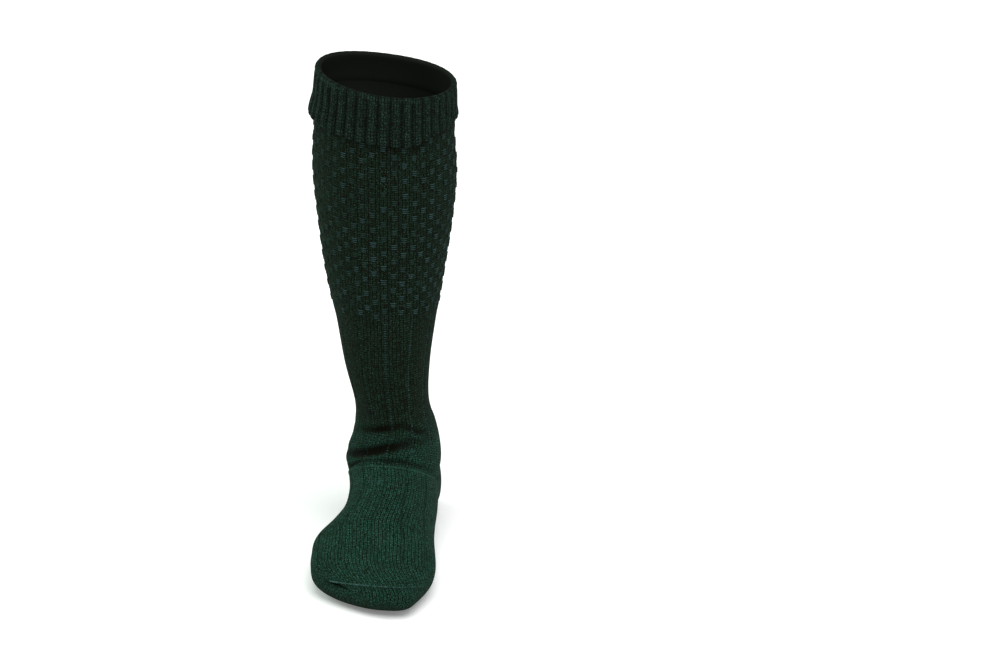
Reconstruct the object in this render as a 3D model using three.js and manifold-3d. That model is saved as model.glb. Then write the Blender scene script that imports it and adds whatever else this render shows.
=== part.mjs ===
// A knitted kilt hose sock in the shape it takes when worn: the leg, the ribbed
// cuff turned down over the calf, the heel pocket, the foot and the toe pocket.
// Millimetres, +Z up. Toes point to -Y and the little-toe side is at -X. The
// origin is the middle of the leg opening, level with the top of the leg's wall.
import * as THREE from 'three';
import { mergeVertices } from 'three/addons/utils/BufferGeometryUtils.js';
import Module from 'manifold-3d';

// Driving dimensions of the worn sock
const LEG_HEIGHT = 402; // sole to opening
const CALF_WIDTH = 118;
const CALF_DEPTH = 124;
const ANKLE_HEIGHT = 119; // sole to the narrowest part of the ankle
const ANKLE_WIDTH = 62;
const ANKLE_DEPTH = 79;
const ANKLE_SET = 4; // the ankle's axis stands this far to the big-toe side
const INSTEP_HEIGHT = 80; // sole to the crease where the foot starts
const CORNER_HEIGHT = 48; // sole to the corners of the heel pocket, at the ankle's sides
const HEEL_HEIGHT = 56; // sole to the top of the heel pocket
const HEEL_REACH = 71; // ankle axis back to the heel
const FOOT_REACH = 182; // ankle axis forward to the tip of the toe
const FOOT_WIDTH = 103;
const TOE_OUT = THREE.MathUtils.degToRad(8.5); // the foot turns out by this much
const RIM_LEAN = THREE.MathUtils.degToRad(8); // the little-toe side of the opening stands higher
const RIM_SIDE_RISE = 3; // both sides of the opening stand higher than its middle by this much

// The knitted fabric
const KNIT = 2.2; // wall of the leg, heel, foot and toe
const CUFF_KNIT = 2.3; // wall of the turned-down layer
const TEXTURE_KNIT = 1.0; // the raised blocks on the calf add this much, here as an even layer
const CUFF_DROP = 37; // opening to the cuff's loose edge
const CUFF_RISE = 12; // the loose edge rides up by this much at the big-toe side
const CUFF_STAND = 18; // opening to the end of the cuff's standing layer
const CUFF_FLARE = 0.8; // the loose edge stands off the calf by this much more
const CUFF_LIP = 1.8; // and by this much more again at the little-toe side
const CUFF_RIBS = 40;
const CUFF_RIB_RELIEF = 1.0;
const WIDE_RIBS = 12; // down the shin and the instep, between purl lines
const WIDE_RIB_RELIEF = 0.8;
const LAY = 0.4; // the turned-down layer lies this far off the leg
const JOIN = 0.3; // gap where two knitted parts meet edge to edge

// The seam plane of the toe pocket, as shares of the foot's reach and the instep's height
const TOE_SEAM = { soleFore: 0.68, cornerFore: 0.79, cornerUp: 0.21, tipUp: 0.36 };

// Mesh density
const AROUND = 36;
const HEEL_STEPS = 9;
const RIM_STEPS = 4;

// Leg sections, from the opening down to the ankle. Height 1 is the opening and 0
// the narrowest part of the ankle, and each reach is 1 at the fullest part of the
// calf and 0 at the ankle. Tilt is the share of the opening's lean.
const LEG = [
  { height: 1.0, outer: 0.79, inner: 0.94, front: 0.79, back: 0.66, tilt: 1.0, steps: 4 },
  { height: 0.86, outer: 0.9, inner: 0.96, front: 0.93, back: 0.85, tilt: 0.8, steps: 2 },
  { height: 0.72, outer: 0.96, inner: 1.04, front: 0.98, back: 1.0, tilt: 0.5, steps: 2 },
  { height: 0.573, outer: 0.85, inner: 0.87, front: 0.83, back: 0.93, tilt: 0.2, steps: 2 },
  { height: 0.427, outer: 0.69, inner: 0.6, front: 0.6, back: 0.7, tilt: 0.0, steps: 2 },
  { height: 0.276, outer: 0.45, inner: 0.3, front: 0.37, back: 0.4, tilt: 0.0, steps: 2 },
  { height: 0.13, outer: 0.25, inner: 0.05, front: 0.17, back: 0.15, tilt: 0.0, steps: 2 },
  { height: 0.0, outer: 0.0, inner: 0.0, front: 0.0, back: 0.0, tilt: 0.0, steps: 5 },
];

// How the calf's and the ankle's widths and depths divide about the leg's axis
const CALF_SPLIT = { outer: 0.52, inner: 0.48, front: 0.46, back: 0.54 };
const ANKLE_SPLIT = { outer: 0.45, inner: 0.55, front: 0.53, back: 0.47 };

// Ankle sections, from the narrowest part down to the crease over the instep. Drop
// is the share of the way down, and the reaches are shares of the ankle's sizes.
const ANKLE = [
  { drop: 0.36, outer: 0.47, inner: 0.66, front: 0.56, back: 0.485, swing: 0.3, steps: 5 },
  { drop: 0.7, outer: 0.57, inner: 0.71, front: 0.6, back: 0.52, swing: 0.7, steps: 5 },
];

// The row where leg, heel pocket and foot meet, and the power of each half's curve
const CREASE = { outer: 0.53, inner: 0.66, front: 0.65, side: 0.02, power: 2.1 };
const LEG_POWER = 2.1;
const HEEL_POWER = 2.8;

// The heel pocket's middle line, from the top of the heel to the start of the sole,
// as shares of the heel's reach and height
const HEEL = [
  { fore: 0.7, up: 1.0 },
  { fore: 0.86, up: 0.78 },
  { fore: 0.97, up: 0.5 },
  { fore: 1.0, up: 0.28 },
  { fore: 0.94, up: 0.08 },
  { fore: 0.78, up: -0.03 },
  { fore: 0.52, up: -0.03 },
];

// Foot sections, from the instep to the tip of the toe: the top, side and sole
// points as shares of the foot's reach and the instep's height, how far each side
// reaches as a share of the foot's width, and the power of the upper curve
const FOOT = [
  { top: [0.346, 0.93], side: [0.12, 0.5], sole: [-0.04, -0.03], outer: 0.325, inner: 0.385, power: 1.95, steps: 2 },
  { top: [0.42, 0.85], side: [0.245, 0.4], sole: [0.12, -0.03], outer: 0.335, inner: 0.405, power: 1.85, steps: 2 },
  { top: [0.5, 0.77], side: [0.37, 0.33], sole: [0.29, -0.03], outer: 0.405, inner: 0.437, power: 1.85, steps: 2 },
  { top: [0.585, 0.68], side: [0.5, 0.28], sole: [0.46, -0.03], outer: 0.495, inner: 0.485, power: 1.95, steps: 2 },
  { top: [0.668, 0.6], side: [0.62, 0.26], sole: [0.6, -0.03], outer: 0.485, inner: 0.524, power: 2.1, steps: 2 },
  { top: [0.74, 0.535], side: [0.717, 0.245], sole: [0.705, -0.02], outer: 0.461, inner: 0.534, power: 2.2, steps: 1 },
  { top: [0.805, 0.48], side: [0.793, 0.235], sole: [0.785, -0.01], outer: 0.417, inner: 0.519, power: 2.3, steps: 1 },
  { top: [0.868, 0.435], side: [0.859, 0.225], sole: [0.848, 0.0], outer: 0.311, inner: 0.49, power: 2.3, steps: 1 },
  { top: [0.921, 0.39], side: [0.913, 0.21], sole: [0.9, 0.02], outer: 0.165, inner: 0.461, power: 2.3, steps: 1 },
  { top: [0.964, 0.34], side: [0.957, 0.195], sole: [0.943, 0.05], outer: 0.019, inner: 0.432, power: 2.3, steps: 1 },
  { top: [0.992, 0.275], side: [0.986, 0.182], sole: [0.975, 0.1], outer: -0.107, inner: 0.383, power: 2.3, steps: 2 },
  { top: [1.0, 0.18], side: [1.0, 0.18], sole: [1.0, 0.18], outer: -0.233, inner: 0.233, power: 2.3, steps: 0 },
];

// Bunched folds above the crease: the height of each valley at the shin and at the
// two sides as shares of the ankle's height. Its depth and half width are shares of
// the fold depth and width. It is deepest at the middle, counted from -1 on the
// little-toe side to 1 on the other, and dies out over the spread. Heel is its
// depth round the back.
const FOLD_DEPTH = 2.4;
const FOLD_HALF_WIDTH = 6;
const FOLDS = [
  { shin: 0.925, outer: 0.834, inner: 0.902, depth: 0.6, middle: -0.25, spread: 0.7, half: 0.75, heel: 0.15 },
  { shin: 0.966, outer: 1.11, inner: 0.82, depth: 0.5, middle: 0.58, spread: 0.3, half: 0.7, heel: 0 },
  { shin: 0.785, outer: 0.636, inner: 0.79, depth: 1.1, middle: -0.35, spread: 0.8, half: 0.9, heel: 0.25 },
  { shin: 0.66, outer: 0.4, inner: 0.4, depth: 0.4, middle: 0, spread: 1.2, half: 0.83, heel: 0.1 },
];
const FOLD_PUFF = 0.35; // the rolls beside a valley stand out by this share of its depth

// The heights, forward reaches and widths that the sections use, in millimetres
const corner = [CREASE.side * ANKLE_DEPTH, CORNER_HEIGHT];

function legRow(row) {
  const up = ANKLE_HEIGHT + row.height * (LEG_HEIGHT - ANKLE_HEIGHT);
  const reach = (name, calf, ankle) =>
    THREE.MathUtils.lerp(ANKLE_SPLIT[name] * ankle, CALF_SPLIT[name] * calf, row[name]);
  return {
    top: [reach('front', CALF_DEPTH, ANKLE_DEPTH), up],
    side: [0, up],
    sole: [-reach('back', CALF_DEPTH, ANKLE_DEPTH), up],
    outer: reach('outer', CALF_WIDTH, ANKLE_WIDTH),
    inner: reach('inner', CALF_WIDTH, ANKLE_WIDTH),
    swing: 0, tilt: row.tilt, power: [LEG_POWER, LEG_POWER], steps: row.steps,
  };
}

function ankleRow(row) {
  const down = (end) => THREE.MathUtils.lerp(ANKLE_HEIGHT, end, row.drop);
  return {
    top: [row.front * ANKLE_DEPTH, down(INSTEP_HEIGHT)],
    side: [row.drop * corner[0], down(CORNER_HEIGHT)],
    sole: [-row.back * ANKLE_DEPTH, down(HEEL_HEIGHT)],
    outer: row.outer * ANKLE_WIDTH,
    inner: row.inner * ANKLE_WIDTH,
    swing: row.swing, tilt: 0, power: [LEG_POWER, LEG_POWER], steps: row.steps,
  };
}

function heelPoint({ fore, up }) {
  return [-fore * HEEL_REACH, up * HEEL_HEIGHT];
}

// The crease row. Its sole point runs down the heel pocket's middle line, so the
// first is the leg's end and the last the foot's start.
function creaseRow(heel) {
  return {
    top: [CREASE.front * ANKLE_DEPTH, INSTEP_HEIGHT],
    side: corner,
    sole: heelPoint(heel),
    outer: CREASE.outer * ANKLE_WIDTH,
    inner: CREASE.inner * ANKLE_WIDTH,
    swing: 1, tilt: 0, power: [CREASE.power, HEEL_POWER], steps: 2,
  };
}

function footRow(row) {
  const point = ([fore, up]) => [fore * FOOT_REACH, up * INSTEP_HEIGHT];
  return {
    top: point(row.top), side: point(row.side), sole: point(row.sole),
    outer: row.outer * FOOT_WIDTH - ANKLE_SET,
    inner: row.inner * FOOT_WIDTH + ANKLE_SET,
    swing: 1, tilt: 0, power: [row.power, HEEL_POWER], steps: row.steps,
  };
}

const legRows = [...LEG.map(legRow), ...ANKLE.map(ankleRow), creaseRow(HEEL[0])];
const heelRows = HEEL.map(creaseRow);
const footRows = [creaseRow(HEEL.at(-1)), ...FOOT.map(footRow)];

// A smooth curve through one column of a table, at place t counted in rows. It runs
// straight on past the first and the last row.
function through(values, t) {
  const last = values.length - 1;
  const i = THREE.MathUtils.clamp(Math.floor(t), 0, last - 1);
  const f = t - i;
  const [b, c] = [values[i], values[i + 1]];
  const a = i > 0 ? values[i - 1] : 2 * b - c;
  const d = i + 2 <= last ? values[i + 2] : 2 * c - b;
  const bend = (2 * a - 5 * b + 4 * c - d) * f + (3 * (b - c) + d - a) * f * f;
  return b + 0.5 * f * (c - a + bend);
}

function sectionAt(rows, t) {
  const column = (pick) => through(rows.map(pick), t);
  const point = (name) => [column((r) => r[name][0]), column((r) => r[name][1])];
  return {
    top: point('top'), side: point('side'), sole: point('sole'),
    outer: column((r) => r.outer), inner: column((r) => r.inner),
    swing: column((r) => r.swing), tilt: column((r) => r.tilt),
    power: [column((r) => r.power[0]), column((r) => r.power[1])],
  };
}

// A point of the smooth surface. Turn 0 is the shin and the top of the foot, 0.25
// the big-toe side, 0.5 the calf, heel and sole, and 0.75 the little-toe side.
function surfacePoint(rows, t, turn) {
  const s = sectionAt(rows, t);
  const cos = Math.cos(2 * Math.PI * turn);
  const sin = Math.sin(2 * Math.PI * turn);
  const end = cos >= 0 ? s.top : s.sole;
  const power = 2 / (cos >= 0 ? s.power[0] : s.power[1]);
  const along = Math.abs(cos) ** power;
  const across = Math.sign(sin) * Math.abs(sin) ** power;
  const fore = s.side[0] + along * (end[0] - s.side[0]);
  const up = s.side[1] + along * (end[1] - s.side[1]);
  const x = (s.inner - s.outer) / 2 + (across * (s.inner + s.outer)) / 2;
  const swing = s.swing * TOE_OUT;
  const fromAxis = x - ANKLE_SET;
  const sides = RIM_SIDE_RISE * ((2 * x) / CALF_WIDTH) ** 2;
  const tilt = s.tilt * (sides - x * Math.tan(RIM_LEAN));
  return new THREE.Vector3(
    ANKLE_SET + fromAxis * Math.cos(swing) - fore * Math.sin(swing),
    -(fromAxis * Math.sin(swing) + fore * Math.cos(swing)),
    up + tilt - LEG_HEIGHT,
  );
}

function surfaceNormal(rows, t, turn) {
  const dt = 0.02;
  const du = 0.004;
  const here = THREE.MathUtils.clamp(t, dt, rows.length - 1 - dt);
  const along = surfacePoint(rows, here + dt, turn).sub(surfacePoint(rows, here - dt, turn));
  const across = surfacePoint(rows, here, turn + du).sub(surfacePoint(rows, here, turn - du));
  return along.cross(across).normalize();
}

// Depth of the bunched folds at a point of the leg, in millimetres
function foldRelief(point, turn) {
  const up = point.z + LEG_HEIGHT;
  const sideways = Math.sin(2 * Math.PI * turn);
  const backness = Math.max(0, -Math.cos(2 * Math.PI * turn));
  let relief = 0;
  for (const fold of FOLDS) {
    const slope = (fold.inner - fold.outer) / 2;
    const bend = (fold.inner + fold.outer) / 2 - fold.shin;
    const level = (fold.shin + slope * sideways + bend * sideways ** 2) * ANKLE_HEIGHT;
    const off = (up - level) / (fold.half * FOLD_HALF_WIDTH);
    const valley = -Math.exp(-off * off);
    const rolls = FOLD_PUFF * Math.exp(-((Math.abs(off) - 1.6) ** 2) * 2);
    const fading = fold.depth * Math.exp(-(((sideways - fold.middle) / fold.spread) ** 2));
    const depth = THREE.MathUtils.lerp(fading, fold.heel, Math.sqrt(backness)) * FOLD_DEPTH;
    relief += depth * (valley + rolls);
  }
  return relief;
}

// The purl lines between the wide ribs, none on the textured calf
function wideRibRelief(turn) {
  const phase = (turn * WIDE_RIBS) % 1;
  const fromLine = Math.min(phase, 1 - phase) * (AROUND / WIDE_RIBS);
  return -WIDE_RIB_RELIEF * Math.max(0, 1 - fromLine);
}

// Places in the leg's table where the texture starts, under the cuff, and where it
// ends and the wide ribs start
const TEXTURE_START = 0.7;
const TEXTURE_END = 4.5;

function legRelief(t, turn, point) {
  const { smoothstep } = THREE.MathUtils;
  const ribbed = smoothstep(t, TEXTURE_END, TEXTURE_END + 0.3);
  const textured = smoothstep(t, TEXTURE_START, TEXTURE_START + 0.3) * (1 - ribbed);
  return textured * TEXTURE_KNIT + ribbed * wideRibRelief(turn) + foldRelief(point, turn);
}

function footRelief(t, turn) {
  const instep = THREE.MathUtils.smoothstep(Math.cos(2 * Math.PI * turn), -0.1, 0.2);
  const toe = 1 - THREE.MathUtils.smoothstep(t, 6, 8);
  return instep * toe * wideRibRelief(turn);
}

// The normal turned into the plane of its own row. The ends of two knitted parts
// that meet are both cut along this plane, so that the gap between them is even.
function edgeNormal(rows, t, turn) {
  const front = Math.cos(2 * Math.PI * turn) >= 0;
  const side = surfacePoint(rows, t, 0.25);
  const sideways = surfacePoint(rows, t, 0.75).sub(side);
  const lengthways = surfacePoint(rows, t, front ? 0 : 0.5).sub(side);
  const plane = sideways.cross(lengthways).normalize();
  return surfaceNormal(rows, t, turn).projectOnPlane(plane).normalize();
}

// Points on the two faces of a wall. Nothing goes below the surface stood on.
function wallPoint(rows, t, turn, relief, depth, edge) {
  const point = surfacePoint(rows, t, turn);
  const out = relief(t, turn, point) - depth;
  point.addScaledVector((edge ? edgeNormal : surfaceNormal)(rows, t, turn), out);
  point.z = Math.max(point.z, depth - LEG_HEIGHT);
  return point;
}

// Draws a row of points together into the one point at their middle
function gather(row) {
  const middle = new THREE.Vector3();
  row.forEach((point) => middle.addScaledVector(point, 1 / row.length));
  return row.map(() => middle);
}

// Closes two grids of points, an outer and an inner face, into one solid. Rows run
// along the sock. A ring closes round on itself, and a tip closes at its last row.
function closeWall(outer, inner, { ring = true, tip = false }) {
  const rows = outer.length;
  const columns = outer[0].length;
  if (tip) {
    outer[rows - 1] = gather(outer[rows - 1]);
    inner[rows - 1] = gather(inner[rows - 1]);
  }
  const points = [];
  const quad = (a, b, c, d) => points.push(a, b, c, a, c, d);
  const spans = ring ? columns : columns - 1;
  for (let i = 0; i < rows - 1; i++) {
    for (let j = 0; j < spans; j++) {
      const k = (j + 1) % columns;
      quad(outer[i][j], outer[i + 1][j], outer[i + 1][k], outer[i][k]);
      quad(inner[i][k], inner[i + 1][k], inner[i + 1][j], inner[i][j]);
    }
  }
  for (let j = 0; j < spans; j++) {
    const k = (j + 1) % columns;
    quad(inner[0][j], outer[0][j], outer[0][k], inner[0][k]);
    if (!tip) quad(outer[rows - 1][j], inner[rows - 1][j], inner[rows - 1][k], outer[rows - 1][k]);
  }
  if (!ring) {
    const end = columns - 1;
    for (let i = 0; i < rows - 1; i++) {
      quad(outer[i][0], inner[i][0], inner[i + 1][0], outer[i + 1][0]);
      quad(inner[i][end], outer[i][end], outer[i + 1][end], inner[i + 1][end]);
    }
  }
  return weld(points);
}

// One closed geometry from loose corners, without the triangles that a tip flattens
function weld(points) {
  const loose = new THREE.BufferGeometry().setFromPoints(points);
  const merged = mergeVertices(loose, 1e-4);
  const index = merged.getIndex().array;
  const kept = [];
  for (let i = 0; i < index.length; i += 3) {
    const [a, b, c] = index.slice(i, i + 3);
    if (a !== b && b !== c && a !== c) kept.push(a, b, c);
  }
  merged.setIndex(kept);
  return merged;
}

// Places along a table short of its last row, each row with its own number of
// steps to the next
function stations(rows) {
  return rows.slice(0, -1).flatMap((row, i) =>
    Array.from({ length: row.steps }, (_, k) => i + k / row.steps));
}

function grid(places, turns, pointAt) {
  return places.map((t) => turns.map((turn) => pointAt(t, turn)));
}

// The place in a table that lies a distance further along the surface, or further
// back for a negative distance
function placeAfter(rows, t, turn, distance) {
  const start = surfacePoint(rows, t, turn);
  const way = Math.sign(distance);
  let place = t + way * 0.01;
  for (let round = 0; round < 4; round++) {
    const gone = surfacePoint(rows, place, turn).distanceTo(start);
    place = t + ((place - t) * Math.abs(distance)) / gone;
  }
  return place;
}

const turns = Array.from({ length: AROUND }, (_, j) => j / AROUND);

function legGeometry() {
  const places = stations(legRows);
  const start = (turn) => placeAfter(legRows, 0, turn, CUFF_STAND + JOIN);
  const shifted = (t, turn) => Math.max(t, start(turn));
  const used = [0, ...places.filter((t) => t > start(0) + 0.2)];
  const end = legRows.length - 1;
  used.push(end);
  const face = (depth) => grid(used, turns, (t, turn) =>
    wallPoint(legRows, shifted(t, turn), turn, legRelief, depth, t === end));
  return closeWall(face(0), face(KNIT), {});
}

// The heel pocket fills the wedge between the leg's end and the sole's start
function heelGeometry() {
  const cornerTurn = 0.0012;
  const span = 0.5 - 2 * cornerTurn;
  const backTurns = Array.from({ length: AROUND / 2 + 1 }, (_, j) =>
    0.25 + cornerTurn + (span * j) / (AROUND / 2));
  const last = heelRows.length - 1;
  const place = (share, turn) => {
    const first = placeAfter(heelRows, 0, turn, JOIN);
    const end = placeAfter(heelRows, last, turn, -JOIN);
    return THREE.MathUtils.lerp(first, end, share);
  };
  const shares = Array.from({ length: HEEL_STEPS + 1 }, (_, i) => i / HEEL_STEPS);
  const face = (depth) => grid(shares, backTurns, (share, turn) =>
    wallPoint(heelRows, place(share, turn), turn, () => 0, depth, share === 0 || share === 1));
  return closeWall(face(0), face(KNIT), { ring: false });
}

// The foot with its toe still closed. At the instep it starts a gap below the leg.
function closedFootGeometry() {
  const places = [...stations(footRows), footRows.length - 1];
  const start = (turn) => {
    const behind = Math.max(0, -Math.cos(2 * Math.PI * turn));
    return placeAfter(footRows, 0, turn, JOIN) * (1 - Math.min(1, 4 * behind));
  };
  const face = (depth) => grid(places, turns, (t, turn) =>
    wallPoint(footRows, Math.max(t, start(turn)), turn, footRelief, depth, t === 0));
  return closeWall(face(0), face(KNIT), { tip: true });
}

// The block of space in front of and below the toe seam, grown by a margin
function toeSpace(margin) {
  const seam = new THREE.Shape();
  const beyond = FOOT_REACH * 1.2;
  const below = -INSTEP_HEIGHT;
  const slope = (TOE_SEAM.tipUp - TOE_SEAM.cornerUp) / (1 - TOE_SEAM.cornerFore);
  const upAt = (fore) => (TOE_SEAM.cornerUp + slope * (fore / FOOT_REACH - TOE_SEAM.cornerFore)) * INSTEP_HEIGHT;
  const cornerFore = TOE_SEAM.cornerFore * FOOT_REACH - margin;
  const soleFore = TOE_SEAM.soleFore * FOOT_REACH - margin;
  const lean = (cornerFore - soleFore) / (upAt(cornerFore) + margin);
  seam.moveTo(soleFore + lean * below, below);
  seam.lineTo(cornerFore, upAt(cornerFore) + margin);
  seam.lineTo(beyond, upAt(beyond) + margin);
  seam.lineTo(beyond, below);
  const block = new THREE.ExtrudeGeometry(seam, { depth: 2 * FOOT_WIDTH, bevelEnabled: false });
  block.translate(0, 0, -FOOT_WIDTH);
  block.rotateX(Math.PI / 2);
  block.rotateZ(-Math.PI / 2 - TOE_OUT);
  block.translate(ANKLE_SET, 0, -LEG_HEIGHT);
  return block;
}

const wasm = await Module();
wasm.setup();

function toSolid(geometry) {
  const bare = geometry.clone();
  bare.deleteAttribute('normal');
  bare.deleteAttribute('uv');
  const merged = mergeVertices(bare, 1e-4);
  return new wasm.Manifold(new wasm.Mesh({
    numProp: 3,
    vertProperties: new Float32Array(merged.getAttribute('position').array),
    triVerts: new Uint32Array(merged.getIndex().array),
  }));
}

function toGeometry(solid) {
  const mesh = solid.getMesh();
  const geometry = new THREE.BufferGeometry();
  geometry.setAttribute('position', new THREE.BufferAttribute(mesh.vertProperties, mesh.numProp));
  geometry.setIndex(new THREE.BufferAttribute(mesh.triVerts, 1));
  return geometry;
}

// The cuff stands on the leg, folds outwards at the opening and hangs down outside.
// Each profile point is how far it is off the leg's outer face and how far down. Those
// with a flare are on the loose part and follow its edge.
function cuffGeometry() {
  const ribTurns = Array.from({ length: 2 * CUFF_RIBS }, (_, j) => j / (2 * CUFF_RIBS));
  const outside = LAY + CUFF_KNIT;
  const foldRadius = (outside + KNIT) / 2;
  const foldMiddle = outside - foldRadius;
  const fold = Array.from({ length: RIM_STEPS + 1 }, (_, i) => {
    const angle = Math.PI * (1 - i / RIM_STEPS);
    return {
      off: foldMiddle + foldRadius * Math.cos(angle),
      down: -foldRadius * Math.sin(angle),
      rib: i / RIM_STEPS,
    };
  });
  const profile = [
    { off: -KNIT, down: CUFF_STAND, rib: 0 },
    { off: -KNIT, down: CUFF_STAND / 2, rib: 0 },
    ...fold,
    { off: outside, down: CUFF_STAND / 2, rib: 1 },
    { off: outside, down: CUFF_STAND, rib: 1 },
    { off: outside, down: CUFF_DROP * 0.85, rib: 1, flare: 0.8 },
    { off: outside, down: CUFF_DROP, rib: 0.5, flare: 1 },
    { off: LAY, down: CUFF_DROP, rib: 0, flare: 1 },
    { off: LAY, down: CUFF_DROP * 0.85, rib: 0, flare: 0.8 },
    { off: LAY, down: CUFF_STAND, rib: 0 },
    { off: LAY, down: CUFF_STAND / 2, rib: 0 },
    { off: LAY, down: 0, rib: 0 },
    { off: LAY / 2, down: -LAY / 2, rib: 0 },
    { off: 0, down: 0, rib: 0 },
    { off: 0, down: CUFF_STAND / 2, rib: 0 },
    { off: 0, down: CUFF_STAND, rib: 0 },
  ];
  const pointAt = ({ off, down, rib, flare = 0 }, turn, j) => {
    const sideways = Math.sin(2 * Math.PI * turn);
    const rise = 1 - (CUFF_RISE / CUFF_DROP) * THREE.MathUtils.smoothstep(sideways, 0.3, 0.95);
    const hang = flare ? down * rise : down;
    const t = hang > 0 ? placeAfter(legRows, 0, turn, hang) : 0;
    const stand = flare * (CUFF_FLARE + CUFF_LIP * Math.max(0, -sideways) ** 4);
    const ridge = j % 2 ? CUFF_RIB_RELIEF / 2 : -CUFF_RIB_RELIEF / 2;
    const point = surfacePoint(legRows, t, turn);
    point.addScaledVector(surfaceNormal(legRows, t, turn), off + stand + rib * ridge);
    if (down < 0) point.z -= down;
    return point;
  };
  const rings = profile.map((p) => ribTurns.map((turn, j) => pointAt(p, turn, j)));
  const points = [];
  rings.forEach((ring, i) => {
    const next = rings[(i + 1) % rings.length];
    ring.forEach((point, j) => {
      const k = (j + 1) % ring.length;
      points.push(point, next[j], next[k], point, next[k], ring[k]);
    });
  });
  return weld(points);
}

// Wool dyed bottle green, darker where it is knitted tightly
function wool(colour, roughness) {
  return new THREE.MeshStandardMaterial({ color: colour, roughness, metalness: 0 });
}

function piece(name, geometry, material) {
  const mesh = new THREE.Mesh(geometry, material);
  mesh.name = name;
  return mesh;
}

const closedFoot = toSolid(closedFootGeometry());
const foot = closedFoot.subtract(toSolid(toeSpace(JOIN)));
const toe = closedFoot.intersect(toSolid(toeSpace(0)));

const sock = new THREE.Group();
sock.add(
  piece('turnover_cuff', cuffGeometry(), wool(0x16241c, 0.95)),
  piece('leg', legGeometry(), wool(0x15221b, 0.95)),
  piece('heel_pocket', heelGeometry(), wool(0x1b3529, 0.95)),
  piece('foot', toGeometry(foot), wool(0x1d382c, 0.95)),
  piece('toe_pocket', toGeometry(toe), wool(0x1b2f25, 0.95)),
);

export default sock;
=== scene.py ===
# A knitted kilt hose sock, stood in the shape it takes when worn. Metres, +Z up,
# toes towards -Y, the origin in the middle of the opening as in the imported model.
import math

import bmesh
import bpy
import numpy as np
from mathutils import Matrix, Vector


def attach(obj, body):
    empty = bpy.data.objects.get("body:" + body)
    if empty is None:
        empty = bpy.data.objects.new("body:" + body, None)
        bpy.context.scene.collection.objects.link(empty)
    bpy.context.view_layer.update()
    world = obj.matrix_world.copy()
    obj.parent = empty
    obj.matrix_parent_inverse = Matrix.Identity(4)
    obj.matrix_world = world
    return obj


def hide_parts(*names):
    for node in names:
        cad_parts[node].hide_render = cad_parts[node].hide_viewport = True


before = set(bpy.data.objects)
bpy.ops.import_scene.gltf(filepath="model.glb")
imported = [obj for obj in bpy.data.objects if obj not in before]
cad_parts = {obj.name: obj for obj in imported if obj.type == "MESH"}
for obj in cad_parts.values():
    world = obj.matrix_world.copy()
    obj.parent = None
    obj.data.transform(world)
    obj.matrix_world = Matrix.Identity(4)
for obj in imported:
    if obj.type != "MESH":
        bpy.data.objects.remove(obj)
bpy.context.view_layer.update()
scene = bpy.context.scene

# The studio. A long lens looks down on the sock, which stands on pale seamless paper
# under one wide overhead light, with a greenish strip behind it and a weak one in front.
LEG_HEIGHT = 0.402
CAMERA_DISTANCE = 4.0
CAMERA_ELEVATION = math.radians(21.5)
CAMERA_TARGET = (0.0935, 0.0, -0.2235)
CAMERA_LENS = 172.8
SENSOR = 36.0
LIGHT_AIM = (0, 0, -0.2)
SUN_STRENGTH = 2.3
SUN_SPREAD = math.radians(50)
SUN_TURN = (math.radians(22), math.radians(8), 0)
SKY_STRENGTH = 0.42
HALF_PAPER = 15.0
PAPER_GAP = 0.0003
PAPER_WHITE = (0.95, 0.95, 0.95, 1)
PAPER_GLOW = 0.16


def new_object(name, data):
    """A new object in the scene that shows a mesh, a lamp or a camera."""
    made = bpy.data.objects.new(name, data)
    scene.collection.objects.link(made)
    return made


camera = new_object("camera", bpy.data.cameras.new("camera"))
camera.data.lens = CAMERA_LENS
camera.data.sensor_width = SENSOR
camera.location = (
    CAMERA_TARGET[0],
    CAMERA_TARGET[1] - CAMERA_DISTANCE * math.cos(CAMERA_ELEVATION),
    CAMERA_TARGET[2] + CAMERA_DISTANCE * math.sin(CAMERA_ELEVATION),
)
camera.rotation_euler = (math.pi / 2 - CAMERA_ELEVATION, 0, 0)
scene.camera = camera
scene.view_settings.view_transform = "Standard"


def soft_light(name, place, size, watts, colour):
    """A square area light at a place, turned to face the sock."""
    lamp = bpy.data.lights.new(name, "AREA")
    lamp.size = size
    lamp.energy = watts
    lamp.color = colour
    light = new_object(name, lamp)
    light.location = place
    way = Vector(LIGHT_AIM) - light.location
    light.rotation_euler = way.to_track_quat("-Z", "Y").to_euler()


soft_light("left strip", place=(-1.6, 0.7, 0.5), size=1.0, watts=15, colour=(0.72, 1.0, 0.8))
soft_light("right strip", place=(1.6, -1.2, 1.2), size=0.9, watts=5, colour=(0.9, 0.97, 1.0))

overhead = new_object("overhead", bpy.data.lights.new("overhead", "SUN"))
overhead.data.energy = SUN_STRENGTH
overhead.data.angle = SUN_SPREAD
overhead.rotation_euler = SUN_TURN

sky = bpy.data.worlds.new("studio")
sky.use_nodes = True
sky.node_tree.nodes["Background"].inputs["Color"].default_value = (1, 1, 1, 1)
sky.node_tree.nodes["Background"].inputs["Strength"].default_value = SKY_STRENGTH
scene.world = sky

paper_mesh = bpy.data.meshes.new("paper")
floor_up = -LEG_HEIGHT - PAPER_GAP
corners = [(x * HALF_PAPER, y * HALF_PAPER, floor_up) for x, y in ((-1, -1), (1, -1), (1, 1), (-1, 1))]
paper_mesh.from_pydata(corners, [], [(0, 1, 2, 3)])
paper = new_object("paper", paper_mesh)
paper_finish = bpy.data.materials.new("white paper")
paper_finish.use_nodes = True
paper_shader = paper_finish.node_tree.nodes["Principled BSDF"]
for socket_name, value in (("Base Color", PAPER_WHITE), ("Roughness", 0.9),
                           ("Emission Color", (1, 1, 1, 1)), ("Emission Strength", PAPER_GLOW)):
    paper_shader.inputs[socket_name].default_value = value
paper_mesh.materials.append(paper_finish)

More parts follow.
